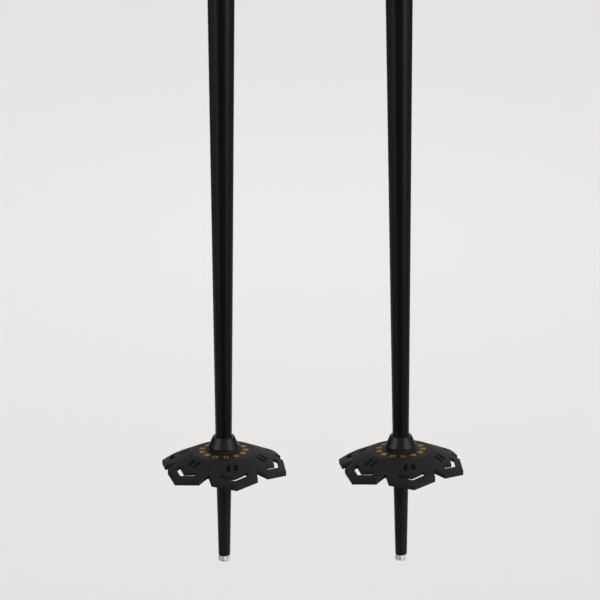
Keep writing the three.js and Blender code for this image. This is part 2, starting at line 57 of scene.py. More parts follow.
def new_finish(name, colour, **sockets):
    """A material with one Principled shader, its own sockets set, and the tree that patterns are added to."""
    finish = bpy.data.materials.new(name)
    finish.use_nodes = True
    finish.diffuse_color = linear(colour)
    shader = finish.node_tree.nodes["Principled BSDF"]
    shader.inputs["Base Color"].default_value = linear(colour)
    for socket, value in sockets.items():
        shader.inputs[socket.replace("_", " ")].default_value = value
    return finish, shader


def add_node(owner, kind, inputs=None, stops=(), into=None, **settings):
    """Adds a node to a material or a world. Each input is a plain value or the output that it is linked to.
    A ramp's stops are pairs of place and hex colour. The node's first output can go into a given socket."""
    node = owner.node_tree.nodes.new("ShaderNode" + kind)
    for name, value in settings.items():
        setattr(node, name, value)
    for name, value in (inputs or {}).items():
        if isinstance(value, bpy.types.NodeSocket):
            owner.node_tree.links.new(value, node.inputs[name])
        else:
            node.inputs[name].default_value = value
    for i, (position, colour) in enumerate(stops):
        node.color_ramp.elements[i].position = position
        node.color_ramp.elements[i].color = linear(colour)
    if into is not None:
        owner.node_tree.links.new(node.outputs[0], into)
    return node


def quads(rows, columns, wrap_rows=False):
    """The quads of a grid of rows x columns points. Columns wrap round, and rows do where it says so."""
    row = np.arange(rows if wrap_rows else rows - 1)[:, None]
    column = np.arange(columns)[None, :]
    next_row, next_column = (row + 1) % rows, (column + 1) % columns
    corners = [
        row * columns + column,
        row * columns + next_column,
        next_row * columns + next_column,
        next_row * columns + column,
    ]
    return np.stack(corners, -1).reshape(-1, 4)


# A metre and half the poles' spacing in millimetres, and how close two points are to be welded, in metres
metre, half_spacing, weld_distance = 1000, 52.6, 1e-6


def on_both_poles(name, shape, finish, body, node, sharp=32, cutters=()):
    """Puts a shape on each pole: its points shifted to the pole's axis, its seams welded, cutters taken away,
    edges sharper than the given angle kept sharp, the piece tied to the body of its side, and the node of its
    side hidden."""
    pieces = []
    for side, across in (("left", -half_spacing), ("right", half_spacing)):
        bodies = []
        for points, faces in (shape, *cutters):
            mesh = bpy.data.meshes.new(f"{side}_{name}")
            places = (points + [across, 0, 0]) / metre
            mesh.from_pydata(places, [], sum([part.tolist() for part in faces], []))
            weld = bmesh.new()
            weld.from_mesh(mesh)
            bmesh.ops.remove_doubles(weld, verts=weld.verts, dist=weld_distance)
            weld.to_mesh(mesh)
            weld.free()
            bodies.append(bpy.data.objects.new(f"{side}_{name}", mesh))
            bpy.context.scene.collection.objects.link(bodies[-1])
        piece = bodies[0]
        piece.data.materials.append(finish)
        for cutter in bodies[1:]:
            cut = piece.modifiers.new("cut", "BOOLEAN")
            cut.object, cut.operation, cut.solver = cutter, "DIFFERENCE", "EXACT"
            cut.use_self = True
        if cutters:
            graph = bpy.context.evaluated_depsgraph_get()
            piece.data = bpy.data.meshes.new_from_object(piece.evaluated_get(graph))
            piece.modifiers.clear()
        for cutter in bodies[1:]:
            bpy.data.objects.remove(cutter)
        piece.data.polygons.foreach_set("use_smooth", np.ones(len(piece.data.polygons), bool))
        piece.data.set_sharp_from_angle(angle=np.radians(sharp))
        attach(piece, f"{side}_{body}")
        if node:
            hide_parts(f"{side}_{node}")
        pieces.append(piece)
    return pieces


flutes, points_a_flute, flute_depth = 8, 24, 0.55
crown_radius, crown_height, crown_rounding, half_rounding = 3.45, 3.3, 0.3, 0.08
cup_radius, cup_depth, lip_width, lip_height = 3.2, 1.7, 0.04, 0.06
stem_radius, stem_top, stem_chamfer = 2.0, 17.3, 0.4
cup_shares = np.array([0, 0.25, 0.5, 0.75, 0.97])


def cup_height(radius):
    """The hollow end is a cone, cup depth x (1 - radius / cup radius) high, and level past the cup's rim."""
    return np.maximum(cup_depth * (1 - radius / cup_radius), 0)


angle = np.linspace(0, 2 * np.pi, flutes * points_a_flute, endpoint=False)
outline = crown_radius - flute_depth * np.abs(np.sin(flutes / 2 * angle))
edge = cup_height(outline)
crown = [
    *((share * outline, cup_height(share * outline)) for share in cup_shares),
    (outline - lip_width, edge),
    (outline, edge + lip_height),
    (outline, crown_height / 2),
    (outline, crown_height - crown_rounding),
    (outline - half_rounding, crown_height - half_rounding),
    (outline - crown_rounding, crown_height),
    (stem_radius, crown_height),
    (stem_radius, stem_top - stem_chamfer),
    (stem_radius - stem_chamfer, stem_top),
    (0, stem_top),
]
points = np.stack([
    np.stack(np.broadcast_arrays(radius * np.cos(angle), radius * np.sin(angle), height), -1)
    for radius, height in crown
])

# Tumbled hardened steel: the dull grey of a worn cast surface, mottled at half a millimetre
steel, shader = new_finish("tumbled_steel", "#cfd6d0", Metallic=0.4, Roughness=0.45)
place = add_node(steel, "TexCoord")
mottle = add_node(steel, "TexNoise", {"Vector": place.outputs["Object"], "Scale": 2000.0, "Detail": 3.0})
add_node(
    steel, "ValToRGB", {"Fac": mottle.outputs["Fac"]},
    stops=((0.3, "#b8c1bb"), (0.7, "#d3d9d4")), into=shader.inputs["Base Color"],
)
add_node(
    steel, "Bump", {"Height": mottle.outputs["Fac"], "Distance": 0.00004, "Strength": 0.6},
    into=shader.inputs["Normal"],
)

tip_shape = (points.reshape(-1, 3), [quads(len(crown), len(angle))])
on_both_poles("fluted_tip", tip_shape, steel, "lower", "tip", sharp=50)


# Ferrules
# Each is one injection moulding of glass-filled nylon: a slender nose round the tip's stem, a neck that the
# basket locks on by two lugs, and a collar with the tapered socket that is pressed over the tube.
def filleted(corners, radii, closed=False, steps=6):
    """A path whose corners are arcs. An arc's centre lies on the corner's bisector, and its points swing
    evenly from one tangent point to the other. It takes no more than its share of the shorter edge, and one
    more point lies on the straight a little beyond each end."""
    edge_share, beyond_share = 0.4, 1.2
    corners = np.asarray(corners, float)
    path = []
    for i, (corner, radius) in enumerate(zip(corners, np.broadcast_to(radii, len(corners)))):
        if radius == 0 or (not closed and i in (0, len(corners) - 1)):
            path.append(corner[None])
            continue
        back, on = corners[i - 1] - corner, corners[(i + 1) % len(corners)] - corner
        room = edge_share * min(np.linalg.norm(back), np.linalg.norm(on))
        back, on = back / np.linalg.norm(back), on / np.linalg.norm(on)
        half = np.arccos(np.clip(back @ on, -1, 1)) / 2
        reach = min(radius / np.tan(half), room)
        centre = corner + (back + on) / np.linalg.norm(back + on) * reach / np.cos(half)
        start, end = corner + back * reach - centre, corner + on * reach - centre
        swing = np.pi - 2 * half
        share = np.linspace(0, 1, steps + 1)[:, None]
        arc = (np.sin((1 - share) * swing) * start + np.sin(share * swing) * end) / np.sin(swing)
        before, after = corner + back * reach * beyond_share, corner + on * reach * beyond_share
        path += [before[None], centre + arc, after[None]]
    return np.concatenate(path)


def arc_points(radius, start, end, count=64, centre=(0, 0)):
    """Points on an arc from one angle to another, in degrees: centre + radius x cosine, radius x sine."""
    angle = np.radians(np.linspace(start, end, count))
    return np.column_stack([centre[0] + radius * np.cos(angle), centre[1] + radius * np.sin(angle)])


def swung(points, degrees):
    """Points of the plane turned anticlockwise about the axis: x cos - y sin, x sin + y cos."""
    angle = np.radians(degrees)
    return np.asarray(points) @ np.array([[np.cos(angle), np.sin(angle)], [-np.sin(angle), np.cos(angle)]])


def revolved(profile, segments=96, loop=False):
    """A profile of radius and height turned round the axis: a point goes to radius x cosine of the angle,
    radius x sine of the angle, height. It runs up the outside and down the inside."""
    angle = np.linspace(0, 2 * np.pi, segments, endpoint=False)
    radius, height = profile[:, :1], profile[:, 1:]
    points = np.stack(np.broadcast_arrays(radius * np.cos(angle), radius * np.sin(angle), height), -1)
    return points.reshape(-1, 3), [quads(len(profile), segments, loop)]


def joined(*shapes):
    """Several shapes as one: points end to end, and each shape's faces counted on from the last."""
    starts = np.cumsum([0] + [len(points) for points, _ in shapes])
    faces = [part + start for (_, parts), start in zip(shapes, starts) for part in parts]
    return np.concatenate([points for points, _ in shapes]), faces


def mitred(loop):
    """The step to the left at each point that moves both edges there by one millimetre."""
    along = np.roll(loop, -1, 0) - loop
    normal = np.stack([-along[:, 1], along[:, 0]], 1) / np.linalg.norm(along, axis=1)[:, None]
    before = np.roll(normal, 1, 0)
    return (normal + before) / (1 + (normal * before).sum(1))[:, None]


def slab(loops, bottom, top, edge=0.3, inside=None, steps=4):
    """A slab over a region of the plane, with the material on the left as each loop is walked. Its rims are
    quarter rounds: a ring stands in from the loop by edge x (1 - sin t) and away from the face by
    edge x (1 - cos t). Its faces are triangles through the inner rings and any points inside, kept where a
    line from the triangle's middle crosses the rings an odd number of times."""
    def height(level, at):
        return level(at) if callable(level) else np.full(len(at), float(level))

    snap = 1e-6
    low, high = np.broadcast_to(edge, 2)
    turn = np.linspace(0, np.pi / 2, steps + 1)
    leans, shapes = [mitred(loop) for loop in loops], []
    for loop, lean in zip(loops, leans):
        rings = [(low * (1 - np.sin(t)), bottom, low * (1 - np.cos(t))) for t in turn]
        rings += [(high * (1 - np.sin(t)), top, -high * (1 - np.cos(t))) for t in turn[::-1]]
        wall = []
        for inset, level, away in rings:
            at = loop + inset * lean
            wall.append(np.column_stack([at, height(level, at) + away]))
        shapes.append((np.concatenate(wall), [quads(len(rings), len(loop))]))
    for inset, level, upward in ((low, bottom, False), (high, top, True)):
        rims = [loop + inset * lean for loop, lean in zip(loops, leans)]
        ends = np.cumsum([len(rim) for rim in rims])
        order = [np.arange(end - len(rim), end) for rim, end in zip(rims, ends)]
        links = np.concatenate([np.stack([part, np.roll(part, -1)], 1) for part in order])
        flat = np.concatenate(rims + ([] if inside is None else [inside]))
        found = delaunay_2d_cdt(flat.tolist(), links.tolist(), [], 0, snap, False)
        at, triangles = np.array(found[0]), np.array(found[2])
        middle = at[triangles].mean(1)
        a, b = np.concatenate(rims), np.concatenate([np.roll(rim, -1, 0) for rim in rims])
        spans = (a[:, 1] > middle[:, 1:]) != (b[:, 1] > middle[:, 1:])
        rise = np.where(a[:, 1] == b[:, 1], 1, b[:, 1] - a[:, 1])
        left_of = middle[:, :1] < a[:, 0] + (b[:, 0] - a[:, 0]) * (middle[:, 1:] - a[:, 1]) / rise
        triangles = triangles[(spans & left_of).sum(1) % 2 == 1]
        sides = at[triangles[:, 1:]] - at[triangles[:, :1]]
        clockwise = sides[:, 0, 0] * sides[:, 1, 1] < sides[:, 0, 1] * sides[:, 1, 0]
        turned = clockwise == upward
        triangles[turned] = triangles[turned][:, ::-1]
        shapes.append((np.column_stack([at, height(level, at)]), [triangles]))
    return joined(*shapes)


nose_end, shoulder, neck_bottom, lug_top, collar_bottom, collar_top = 3.6, 50.3, 53.3, 55.7, 71.5, 78.6
nose_radius, shoulder_radius, neck_radius = 3.48, 4.45, 6.8
stem_bore, stem_bore_top = 2.3, 17.6
recess_depth, recess_radius, recess_mouth = 0.6, 8.3, 8.45
collar_radius, collar_rim, collar_top_radius = 9, 0.8, 6.35
socket_mouth, socket_foot, socket_floor = 5.05, 4.78, 54.0
under_collar = collar_bottom + recess_depth
profile = filleted(
    [
        (0, stem_bore_top), (stem_bore, stem_bore_top), (stem_bore, nose_end), (nose_radius, nose_end),
        (shoulder_radius, shoulder), (neck_radius, neck_bottom), (neck_radius, under_collar),
        (recess_radius, under_collar), (recess_mouth, collar_bottom), (collar_radius, collar_bottom),
        (collar_radius, collar_bottom + collar_rim), (collar_top_radius, collar_top),
        (socket_mouth, collar_top), (socket_foot, socket_floor), (0, socket_floor),
    ],
    [0, 0.2, 0.15, 0.55, 2.5, 1.2, 0.2, 0.2, 0.1, 0.3, 0.35, 0.7, 0.25, 0.3, 0],
)
basket_turn, lug_radius, lug_half_angle, lug_root, lug_root_half = 11.3, 7.8, 26.7, 6, 3.5
lug_loop = np.concatenate([
    arc_points(lug_radius, -lug_half_angle, lug_half_angle, 17),
    [(lug_root, lug_root_half), (lug_root, -lug_root_half)],
])
lugs = [slab([swung(lug_loop, basket_turn + half)], neck_bottom, lug_top) for half in (0, 180)]

# Glass-filled nylon from a fine-etched mould: near black, satin, with a grain of about 0.3 mm, and a sheen
# that varies over 8 mm
nylon, shader = new_finish("glass_filled_nylon", "#141415", Roughness=0.42, IOR=1.53)
place = add_node(nylon, "TexCoord")
grain = add_node(nylon, "TexNoise", {"Vector": place.outputs["Object"], "Scale": 3300.0, "Detail": 2.0})
cloud = add_node(nylon, "TexNoise", {"Vector": place.outputs["Object"], "Scale": 120.0, "Detail": 2.0})
add_node(
    nylon, "MapRange", {"Value": cloud.outputs["Fac"], "To Min": 0.37, "To Max": 0.47},
    into=shader.inputs["Roughness"],
)
add_node(
    nylon, "Bump", {"Height": grain.outputs["Fac"], "Distance": 0.00002, "Strength": 0.5},
    into=shader.inputs["Normal"],
)

on_both_poles("nose_ferrule", joined(revolved(profile), *lugs), nylon, "lower", "ferrule")


# Baskets
# Each snow basket is moulded from a matte thermoplastic rubber: a flat disc, a sloping skirt of six lobes,
# and in each lobe a chevron slot and two vents. A boss and a hub turn on the ferrule's neck.
def circle(radius, count, clockwise=False):
    """Evenly spaced points on a circle about the axis."""
    angle = np.linspace(0, 2 * np.pi, count, endpoint=False) * (-1 if clockwise else 1)
    return radius * np.column_stack([np.cos(angle), np.sin(angle)])


def from_front(radius, degrees):
    """A point at a radius and at an angle counted from the front of the pole towards its right."""
    angle = np.radians(degrees)
    return radius * np.sin(angle), -radius * np.cos(angle)


disc_radius, disc_level, disc_drop, crease_half, skirt_slope = 18.8, 69.8, 0.7, 1.2, 25.2
boss_radius, boss_top, hub_radius, hub_bottom = 8.7, 71.2, 10.5, 56.0
inner_thickness, thinning_start, thinning_end, skirt_thickness = 2.85, 27, 28.5, 2.05
lip_thickness, lip_width, overlap = 3.0, 1.6, 0.3
disc_fall, skirt_fall = disc_drop / (disc_radius - boss_radius), np.tan(np.radians(skirt_slope))


def basket_top(at):
    """The disc's shallow fall from the boss, then the skirt's, joined by a parabola as wide as the crease."""
    radius = np.linalg.norm(at, axis=1)
    out = radius - disc_radius
    bend = np.clip(out + crease_half, 0, 2 * crease_half) ** 2 / (4 * crease_half)
    steeper = bend + np.maximum(out - crease_half, 0)
    return disc_level - disc_fall * np.maximum(radius - boss_radius, 0) - (skirt_fall - disc_fall) * steeper


def basket_bottom(at):
    """The top's level less the thickness, which thins evenly from the vents to the slots."""
    radius = np.linalg.norm(at, axis=1)
    thickness = np.interp(radius, [thinning_start, thinning_end], [inner_thickness, skirt_thickness])
    return basket_top(at) - thickness


def leaning(shape, slack=0.0157):
    """A basket part as its loose fit on the neck lets it hang: tipped about the disc's centre, right side up,
    with x less slack x height and height more slack x x."""
    points, faces = shape
    across, along, height = points.T
    return np.column_stack([across - slack * (height - disc_level), along, height + slack * across]), faces


lobe_count = 6
lobes = basket_turn + 360 / lobe_count * np.arange(lobe_count)
half_lobe = 180 / lobe_count
notch_reach, corner_reach, corner_angle, point_reach = 29.1, 35.2, 23.7, 39
skirt_corners = np.concatenate([
    [
        from_front(notch_reach, lobe - half_lobe), from_front(corner_reach, lobe - corner_angle),
        from_front(point_reach, lobe), from_front(corner_reach, lobe + corner_angle),
    ]
    for lobe in lobes
])
skirt = filleted(skirt_corners, np.tile([0.5, 0.4, 0.4, 0.4], lobe_count), closed=True, steps=5)
key_radius, key_half_angle, bore_radius, bore_start = 8.1, 28, 7.1, 38
half_bore = np.concatenate([
    arc_points(key_radius, -key_half_angle, key_half_angle, 13),
    arc_points(bore_radius, bore_start, 180 - bore_start, 25),
])
keyed_bore = swung(np.concatenate([half_bore, -half_bore]), basket_turn + 90)[::-1]
index_foot, index_point, index_angle, index_half_angle, index_rounding = 8.3, 10.3, 7.5, 10, 0.1
index_mark = [
    from_front(index_foot, index_angle + index_half_angle),
    from_front(index_point, index_angle),
    from_front(index_foot, index_angle - index_half_angle),
]
holes = [filleted(index_mark, index_rounding, closed=True, steps=2)]
slot_half_angle, slot_corner, slot_point, slot_inner_corner, slot_inner_point = 15.5, 31.6, 34.3, 28.9, 31.6
vent_middle, vent_half_width, vent_inner, vent_outer, hole_rounding = 2.2, 1.3, 21.3, 26.6, 0.3
for lobe in lobes:
    chevron = [
        from_front(slot_corner, lobe + slot_half_angle), from_front(slot_point, lobe),
        from_front(slot_corner, lobe - slot_half_angle),
        from_front(slot_inner_corner, lobe - slot_half_angle), from_front(slot_inner_point, lobe),
        from_front(slot_inner_corner, lobe + slot_half_angle),
    ]
    holes.append(filleted(chevron, hole_rounding, closed=True, steps=3))
    for middle in (-vent_middle, vent_middle):
        left, right = middle - vent_half_width, middle + vent_half_width
        box = [(right, -vent_outer), (left, -vent_outer), (left, -vent_inner), (right, -vent_inner)]
        holes.append(filleted(swung(box, lobe), hole_rounding, closed=True, steps=3))

# Points inside the web lie on rings, closest over the crease, and stay clear of the rims. Each run of rings
# is a start, an end and a step, and the points on a ring are a step of degrees apart.
ring_runs, degree_step = ((11, 17.2, 1.4), (17.3, 20.5, 0.3), (21, 38.8, 0.8)), 1.6
clear_of_rims, clear_of_skirt = 0.75, 0.7
rings = np.concatenate([np.arange(*run) for run in ring_runs])
angle = np.radians(np.arange(0, 360, degree_step))
inside = (rings[:, None, None] * np.stack([np.cos(angle), np.sin(angle)], -1)).reshape(-1, 2)
rims = np.concatenate([skirt, *holes])
apart = np.concatenate([
    np.linalg.norm(part[:, None] - rims, axis=2).min(1) for part in np.array_split(inside, 16)
])
inside = inside[apart > clear_of_rims]
reach = np.linalg.norm(skirt, axis=1)
heading = np.arctan2(skirt[:, 1], skirt[:, 0])
order = np.argsort(heading)
limit = np.interp(np.arctan2(inside[:, 1], inside[:, 0]), heading[order], reach[order], period=2 * np.pi)
inside = inside[np.linalg.norm(inside, axis=1) < limit - clear_of_skirt]

web = slab([skirt, keyed_bore, *holes], basket_bottom, basket_top, (0, 0.35), inside)
hair, boss_root, hub_root = 0.02, 0.8, 1.0
lip = slab(
    [skirt + hair * mitred(skirt), (skirt_corners + lip_width * mitred(skirt_corners))[::-1]],
    lambda at: basket_top(at) - lip_thickness,
    lambda at: basket_top(at) - skirt_thickness + overlap,
    (0.3, 0),
)
boss = slab([circle(boss_radius, 120), keyed_bore], disc_level - boss_root, boss_top, (0, 0.25))
hub = slab([circle(hub_radius, 120), keyed_bore], hub_bottom, disc_level - hub_root, (0.5, 0))

# Matte thermoplastic rubber: charcoal with a soft sheen at grazing angles, a spark-eroded grain of 0.4 mm,
# and faint clouds of dust 11 mm across
rubber, shader = new_finish("matte_rubber", "#1d1d1c", Roughness=0.66, IOR=1.5, Specular_IOR_Level=0.26)
place = add_node(rubber, "TexCoord")
grain = add_node(rubber, "TexNoise", {"Vector": place.outputs["Object"], "Scale": 2500.0, "Detail": 3.0})
dust = add_node(rubber, "TexNoise", {"Vector": place.outputs["Object"], "Scale": 90.0, "Detail": 4.0})
add_node(
    rubber, "ValToRGB", {"Fac": dust.outputs["Fac"]},
    stops=((0.35, "#191918"), (0.7, "#1d1d1c")), into=shader.inputs["Base Color"],
)
add_node(
    rubber, "Bump", {"Height": grain.outputs["Fac"], "Distance": 0.00003, "Strength": 0.5},
    into=shader.inputs["Normal"],
)

basket = leaning(joined(web, lip, boss, hub))
on_both_poles("snow_basket", basket, rubber, "basket", "basket", sharp=40)


# Printed marks
# A ring of plain double ticks is hot-stamped in gold foil on each disc, as a scale for turning the basket.
tick_count, first_tick, tick_middle, tick_half_width = 13, 6, 0.9, 0.42
tick_inner, tick_outer, tick_root, tick_rise, tick_edge = 11.5, 14.7, 0.1, 0.05, 0.02
bars = []
for mark in np.arange(tick_count) * 360 / tick_count + first_tick:
    for middle in (-tick_middle, tick_middle):
        left, right = middle - tick_half_width, middle + tick_half_width
        box = [(left, -tick_outer), (right, -tick_outer), (right, -tick_inner), (left, -tick_inner)]
        bars.append(slab(
            [swung(box, mark)],
            lambda at: basket_top(at) - tick_root,
            lambda at: basket_top(at) + tick_rise,
            tick_edge,
            steps=1,
        ))

# Hot-stamped gold foil: a warm metal, worn and dented over 0.8 mm by the rubber's grain below it
gold, shader = new_finish("stamped_gold_foil", "#b08428", Metallic=0.6, Roughness=0.45)
place = add_node(gold, "TexCoord")
wear = add_node(gold, "TexNoise", {"Vector": place.outputs["Object"], "Scale": 1200.0, "Detail": 3.0})
add_node(
    gold, "ValToRGB", {"Fac": wear.outputs["Fac"]},
    stops=((0.3, "#926b12"), (0.6, "#c8961e")), into=shader.inputs["Base Color"],
)
add_node(
    gold, "Bump", {"Height": wear.outputs["Fac"], "Distance": 0.00003, "Strength": 0.5},
    into=shader.inputs["Normal"],
)

on_both_poles("stamped_ticks", leaning(joined(*bars)), gold, "basket", None)


# Lower tubes
# Each is drawn from aluminium, swaged to a taper at its foot, and black anodised over a fine drawn grain.
tube_foot, taper_top, tube_top = 54.3, 358.1, 700.0
foot_radius, foot_bore, tube_radius, tube_bore = 4.63, 3.68, 8.15, 7.2
profile = filleted(
    [
        (foot_radius, tube_foot), (tube_radius, taper_top), (tube_radius, tube_top),
        (tube_bore, tube_top), (tube_bore, taper_top), (foot_bore, tube_foot),
    ],
    [0.2, 0, 0.2, 0.2, 0, 0.2],
    closed=True,
    steps=3,
)

# Black anodised aluminium: a hard clear oxide over dyed metal, satin, with drawing lines 0.15 mm apart
anodised, shader = new_finish("black_anodised_aluminium", "#0b0b0c", Roughness=0.32, IOR=1.5)
place = add_node(anodised, "TexCoord")
stretch = add_node(anodised, "Mapping", {"Vector": place.outputs["Object"], "Scale": (6600.0, 6600.0, 60.0)})
lines = add_node(anodised, "TexNoise", {"Vector": stretch.outputs["Vector"], "Scale": 1.0, "Detail": 2.0})
add_node(
    anodised, "MapRange", {"Value": lines.outputs["Fac"], "To Min": 0.29, "To Max": 0.35},
    into=shader.inputs["Roughness"],
)
add_node(
    anodised, "Bump", {"Height": lines.outputs["Fac"], "Distance": 0.000004, "Strength": 0.4},
    into=shader.inputs["Normal"],
)

on_both_poles("swaged_tube", revolved(profile, loop=True), anodised, "lower", "lower_tube")


# Guide bushes
# Each is a turned acetal plug in the top of the lower tube, with a groove round its head, and slides in the
# upper tube.
plug_bottom, head_bottom, groove_bottom, groove_top, bush_top = 682.3, 700.3, 704.3, 708.3, 712.3
bush_bore, plug_radius, head_radius, groove_radius = 3, 6.9, 8, 7.2
profile = filleted(
    [
        (bush_bore, plug_bottom), (plug_radius, plug_bottom), (plug_radius, head_bottom),
        (head_radius, head_bottom), (head_radius, groove_bottom), (groove_radius, groove_bottom),
        (groove_radius, groove_top), (head_radius, groove_top), (groove_radius, bush_top),
        (bush_bore, bush_top),
    ],
    [0.2, 0.5, 0.1, 0.3, 0.2, 0.1, 0.1, 0.2, 0.3, 0.2],
    closed=True,
    steps=3,
)

# Turned acetal: waxy off-white with faint turning rings 0.2 mm apart
acetal, shader = new_finish("turned_acetal", "#cfcdc6", Roughness=0.38, IOR=1.48)
place = add_node(acetal, "TexCoord")
waves = add_node(acetal, "TexWave", {"Vector": place.outputs["Object"], "Scale": 1570.0}, bands_direction="Z")
add_node(
    acetal, "Bump", {"Height": waves.outputs["Fac"], "Distance": 0.00001, "Strength": 0.4},
    into=shader.inputs["Normal"],
)

on_both_poles("turned_bush", revolved(profile, loop=True), acetal, "lower", "guide_bush")


# Upper tubes
# Each is a straight drawn aluminium tube with the same black anodising, which the clamp grips at its foot.
upper_foot, upper_top, upper_radius, upper_bore = 520, 1150, 9, 8.3
profile = filleted(
    [
        (upper_radius, upper_foot), (upper_radius, upper_top),
        (upper_bore, upper_top), (upper_bore, upper_foot),
    ],
    [0.25, 0.25, 0.15, 0.15],
    closed=True,
    steps=3,
)
upper_shape = revolved(profile, loop=True)
on_both_poles("straight_tube", upper_shape, anodised, "upper", "upper_tube")


# Clamps
# Each is a split collar of glass-filled nylon. A slit at the front runs up between two ears, and a crosswise
# relief slot lets the band below it close on the lower tube.
band_radius, rim_radius, slit_half = 12.7, 12.66, 1.1
ear_front, ear_side, ear_bevel_front, ear_bevel_side, ear_root, slit_root = -21, 8, 3, -16, -9.5, -10
ear_radii, band_start, band_end = [0, 0.5, 2.5, 2.5, 0], -50, 230


def clamp_band(bore, ears, rim=rim_radius):
    """The open band seen from above: collar, with or without ears, then the slit's two sides and the bore."""
    start = np.degrees(np.arcsin(slit_half / bore))
    inner = arc_points(bore, 270 - start, -90 + start)
    if not ears:
        mouth = np.degrees(np.arcsin(slit_half / rim))
        return np.concatenate([arc_points(rim, -90 + mouth, 270 - mouth, 96), inner])
    ear_corners = [
        (slit_half, slit_root), (slit_half, ear_front), (ear_bevel_front, ear_front),
        (ear_side, ear_bevel_side), (ear_side, ear_root),
    ]
    front = filleted(ear_corners, ear_radii)[1:-1]
    outer = arc_points(band_radius, band_start, band_end, 96)
    return np.concatenate([front, outer, front[::-1] * [-1, 1], inner])


clamp_foot, band_foot, lining_foot, foot_top, lining_top, band_top = 505, 506, 506.2, 506.5, 519.7, 526
clamp_foot_bore, lining_bore, lining_radius, seat_bore = 8.34, 8.3, 11.0, 9.3
bands = [
    slab([clamp_band(clamp_foot_bore, False)], clamp_foot, foot_top, (0.7, 0)),
    slab([clamp_band(lining_bore, False, lining_radius)], lining_foot, lining_top, 0),
    slab([clamp_band(seat_bore, True)], band_foot, band_top, (0.3, 0.6)),
]
bridge_bottom, bridge_top, bridge_bore, bridge_start = 525, 528.5, 9.34, 10
bridge = np.concatenate([
    arc_points(rim_radius, bridge_start, 180 - bridge_start, 64),
    arc_points(bridge_bore, 180 - bridge_start, bridge_start, 48),
])
bands.append(slab([bridge], bridge_bottom, bridge_top, 0))
ring_bottom, step_bottom, step_top, bevel_bottom, ring_top = 527.6, 537, 538, 543, 545
step_radius, bevel_radius = 12.3, 11.0
ring = filleted(
    [
        (seat_bore, ring_bottom), (band_radius, ring_bottom), (band_radius, step_bottom),
        (step_radius, step_top), (step_radius, bevel_bottom), (bevel_radius, ring_top), (seat_bore, ring_top),
    ],
    [0.2, 0.5, 0.6, 0.6, 1.2, 0.8, 0.3],
    closed=True,
)
bands.append(revolved(ring, loop=True))


def laid_across(shape, back=0, level=0):
    """A shape whose upward axis is laid along X, from left to right, at a place back and a level."""
    points, faces = shape
    return points[:, [2, 0, 1]] + [0, back, level], faces


def across_rod(radius, start, end, back, level, segments=48, edge=0.2):
    """A rod across the pole with rounded ends: a revolved profile whose axis is laid along X."""
    profile = filleted([(0, start), (radius, start), (radius, end), (0, end)], [0, edge, edge, 0], steps=3)
    return laid_across(revolved(profile, segments), back, level)


screw_level, screw_back, head_hole_radius, head_hole_start, head_hole_end = 516, -16, 3.5, -12, -5.2
head_hole = across_rod(head_hole_radius, head_hole_start, head_hole_end, screw_back, screw_level)
on_both_poles("split_clamp", joined(*bands), nylon, "upper", "clamp", cutters=[head_hole])


# Clamp screws
# Each is a blackened socket screw through both ears, threaded into the barrel nut, and sets how hard the
# lever clamps.
key_size, screw_head_radius, head_start, head_end = 3.1, 3.2, -7.9, -5.6
socket_radius, socket_start, socket_end = 3.1, -6.1, -5.5
shank_radius, shank_start, shank_end = 1.6, -6.5, 17.1
hexagon = circle(key_size / np.sqrt(3), 6, clockwise=True)
head = slab([circle(screw_head_radius, 64), hexagon], head_start, head_end, 0.25)
socket_floor = slab([circle(socket_radius, 64)], socket_start, socket_end, 0)
head = laid_across(joined(head, socket_floor), screw_back, screw_level)
shank = across_rod(shank_radius, shank_start, shank_end, screw_back, screw_level)

# Blackened steel: a thin oxide with a blue cast, polished by handling in patches of about 1.4 mm
dark_steel, shader = new_finish("blackened_steel", "#3b3c3e", Metallic=1.0, Roughness=0.34)
place = add_node(dark_steel, "TexCoord")
wear = add_node(dark_steel, "TexNoise", {"Vector": place.outputs["Object"], "Scale": 700.0, "Detail": 4.0})
add_node(
    dark_steel, "MapRange", {"Value": wear.outputs["Fac"], "To Min": 0.26, "To Max": 0.44},
    into=shader.inputs["Roughness"],
)

on_both_poles("socket_screw", joined(head, shank), dark_steel, "upper", "clamp_screw")


# Cam plates
# Each is a stamped steel plate between the right ear and the cam, so that the cam doesn't wear the nylon.
plate_front, plate_back, plate_bottom, plate_top, plate_rounding = -20.5, -11.5, 508, 524, 1.2
plate_start, plate_end, plate_edge = 8.3, 9.8, 0.2
plate_corners = [
    (plate_front, plate_bottom), (plate_back, plate_bottom),
    (plate_back, plate_top), (plate_front, plate_top),
]
plate = slab([filleted(plate_corners, plate_rounding, closed=True)], plate_start, plate_end, plate_edge)
on_both_poles("wear_plate", laid_across(plate), dark_steel, "upper", "cam_plate")


# Barrel nuts
# Each is a turned steel pin, cross-drilled and tapped for the screw, with its ends flush in the lever.
nut_right, nut_radius, nut_bottom, nut_top = 16.1, 3.2, 507, 525
nut_corners = [(0, nut_bottom), (nut_radius, nut_bottom), (nut_radius, nut_top), (0, nut_top)]
nut_points, nut_faces = revolved(filleted(nut_corners, [0, 0.4, 0.4, 0], steps=3), 64)
nut_shape = (nut_points + [nut_right, screw_back, 0], nut_faces)
on_both_poles("barrel_pin", nut_shape, dark_steel, "upper", "barrel_nut")


